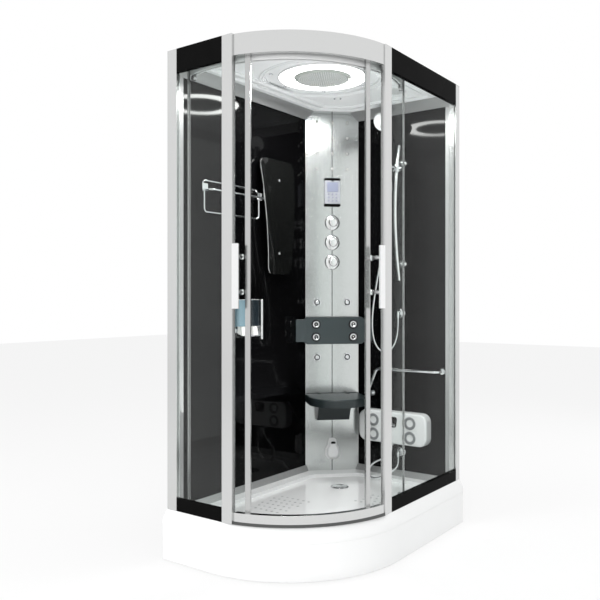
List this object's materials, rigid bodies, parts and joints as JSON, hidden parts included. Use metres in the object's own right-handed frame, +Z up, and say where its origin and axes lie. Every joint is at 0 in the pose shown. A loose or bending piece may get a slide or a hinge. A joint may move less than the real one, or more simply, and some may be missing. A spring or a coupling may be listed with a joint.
{
  "type": "steam shower cabin",
  "caption": "Corner steam shower cabin: deep rounded tray, dark glass walls, curved sliding doors, steel massage column, fold-up seat, hand shower, foot massager and ceiling light ring.",
  "frame": {"origin": "on the floor under the middle of the tray's rectangular footprint", "axes": "+X along the cabin's short side, from the long dark wall to the long glass pane; +Y along its long side, away from the short glass pane; +Z up"},
  "size_m": [0.8024, 1.2, 2.1],
  "materials": {
    "white_acrylic": "gloss",
    "satin_aluminium": "satin",
    "black_wall_glass": "gloss",
    "black_gloss": "gloss",
    "clear_glass": "clear",
    "brushed_steel": "brushed",
    "chrome": "polished",
    "slate_plastic": "matte",
    "white_plastic": "gloss",
    "roof_acrylic": "gloss",
    "light_diffuser": "diffuser",
    "spray_face": "satin",
    "grey_rubber": "matte",
    "nylon": "matte",
    "frame_steel": "painted",
    "soap_plastic": "translucent",
    "panel_plastic": "gloss",
    "black_mirror": "mirror gloss"
  },
  "bodies": {
    "cabin": {"shower_tray": "white_acrylic", "tray_apron": "white_acrylic", "support_frame": "frame_steel", "drain_trap": "white_plastic", "drain_cover": "chrome", "left_wall_glass": "black_wall_glass", "left_wall_frame": "satin_aluminium", "back_wall_glass": "black_wall_glass", "back_wall_frame": "satin_aluminium", "column_panels": "brushed_steel", "corner_posts": "satin_aluminium", "door_posts": "satin_aluminium", "left_fixed_pane": "clear_glass", "right_fixed_pane": "clear_glass", "fascias": "black_gloss", "curved_top_rail": "satin_aluminium", "curved_bottom_rail": "satin_aluminium", "door_tracks": "satin_aluminium", "roof_shell": "roof_acrylic", "roof_light_ring": "light_diffuser", "rain_head": "spray_face", "exhaust_fan": "white_plastic", "water_jets": "chrome", "massage_belt": "slate_plastic", "control_panel": "panel_plastic", "mixer_valve": "chrome", "steam_outlet": "white_plastic", "steam_generator": "brushed_steel", "seat_bracket": "slate_plastic", "towel_rack": "chrome", "wall_mirror": "black_mirror", "soap_holder": "chrome", "soap_tanks": "soap_plastic", "riser_rail": "chrome", "grab_bar": "chrome", "foot_massager": "white_plastic", "foot_rings": "grey_rubber", "hose_elbows": "chrome", "shower_hose": "chrome", "massager_hose": "chrome"},
    "left_door": {"left_door_glass": "clear_glass", "left_door_trim": "satin_aluminium", "left_door_handle": "chrome"},
    "right_door": {"right_door_glass": "clear_glass", "right_door_trim": "satin_aluminium", "right_door_handle": "chrome"},
    "left_lead_roller": {"left_lead_roller": "nylon"},
    "left_trail_roller": {"left_trail_roller": "nylon"},
    "right_lead_roller": {"right_lead_roller": "nylon"},
    "right_trail_roller": {"right_trail_roller": "nylon"},
    "seat": {"seat": "slate_plastic"},
    "knob_lower": {"knob_lower": "chrome"},
    "knob_middle": {"knob_middle": "chrome"},
    "knob_upper": {"knob_upper": "chrome"},
    "handset_slider": {"handset_slider": "chrome"},
    "hand_shower": {"hand_shower": "chrome"},
    "soap_lever_left": {"soap_lever_left": "white_plastic"},
    "soap_lever_right": {"soap_lever_right": "white_plastic"}
  },
  "joints": [
    {"name": "left_door_slide", "type": "hinge", "parent": "cabin", "child": "left_door", "pos_m": [-0.15, -0.05, 1.1], "axis": [0, 0, 1], "range_deg": [0, 25.8]},
    {"name": "right_door_slide", "type": "hinge", "parent": "cabin", "child": "right_door", "pos_m": [-0.15, -0.05, 1.1], "axis": [0, 0, 1], "range_deg": [-27.4, 0]},
    {"name": "left_lead_roller_spin", "type": "hinge", "parent": "left_door", "child": "left_lead_roller", "pos_m": [-0.00064, -0.52371, 2.0148], "axis": [0.3007, -0.9537, 0], "range_deg": [-1070, 1]},
    {"name": "left_trail_roller_spin", "type": "hinge", "parent": "left_door", "child": "left_trail_roller", "pos_m": [-0.28603, -0.52771, 2.0148], "axis": [-0.2739, -0.9618, 0], "range_deg": [-1070, 1]},
    {"name": "right_lead_roller_spin", "type": "hinge", "parent": "right_door", "child": "right_lead_roller", "pos_m": [0.3277, -0.18608, 2.0148], "axis": [0.9617, -0.274, 0], "range_deg": [-1, 1136]},
    {"name": "right_trail_roller_spin", "type": "hinge", "parent": "right_door", "child": "right_trail_roller", "pos_m": [0.32372, 0.09932, 2.0148], "axis": [0.9537, 0.3006, 0], "range_deg": [-1, 1136]},
    {"name": "seat_fold", "type": "hinge", "parent": "cabin", "child": "seat", "pos_m": [-0.25302, 0.45302, 0.57], "axis": [-0.7071, -0.7071, 0], "range_deg": [0, 84]},
    {"name": "knob_lower_turn", "type": "hinge", "parent": "cabin", "child": "knob_lower", "pos_m": [-0.26151, 0.46151, 1.268], "axis": [0.7071, -0.7071, 0], "range_deg": [0, 90]},
    {"name": "knob_middle_turn", "type": "hinge", "parent": "cabin", "child": "knob_middle", "pos_m": [-0.26151, 0.46151, 1.37], "axis": [0.7071, -0.7071, 0], "range_deg": [-90, 90]},
    {"name": "knob_upper_turn", "type": "hinge", "parent": "cabin", "child": "knob_upper", "pos_m": [-0.26151, 0.46151, 1.473], "axis": [0.7071, -0.7071, 0], "range_deg": [-120, 120]},
    {"name": "handset_height", "type": "hinge", "parent": "cabin", "child": "handset_slider", "pos_m": [0.09, 1.63725, 1.505], "axis": [1, 0, 0], "range_deg": [0, 21], "deforming": ["shower_hose"]},
    {"name": "handset_tilt", "type": "hinge", "parent": "handset_slider", "child": "hand_shower", "pos_m": [0.076, 0.477, 1.72], "axis": [1, 0, 0], "range_deg": [-20, 20], "deforming": ["shower_hose"]},
    {"name": "soap_lever_left_push", "type": "slide", "parent": "cabin", "child": "soap_lever_left", "axis": [-1, 0, 0], "range_m": [0, 0.008], "stiffness_N_per_m": 250},
    {"name": "soap_lever_right_push", "type": "slide", "parent": "cabin", "child": "soap_lever_right", "axis": [-1, 0, 0], "range_m": [0, 0.008], "stiffness_N_per_m": 250}
  ],
  "couplings": [
    {"joint": "left_lead_roller_spin", "follows": "left_door_slide", "ratio": -41.392},
    {"joint": "left_trail_roller_spin", "follows": "left_door_slide", "ratio": -41.392},
    {"joint": "right_lead_roller_spin", "follows": "right_door_slide", "ratio": -41.392},
    {"joint": "right_trail_roller_spin", "follows": "right_door_slide", "ratio": -41.392}
  ]
}
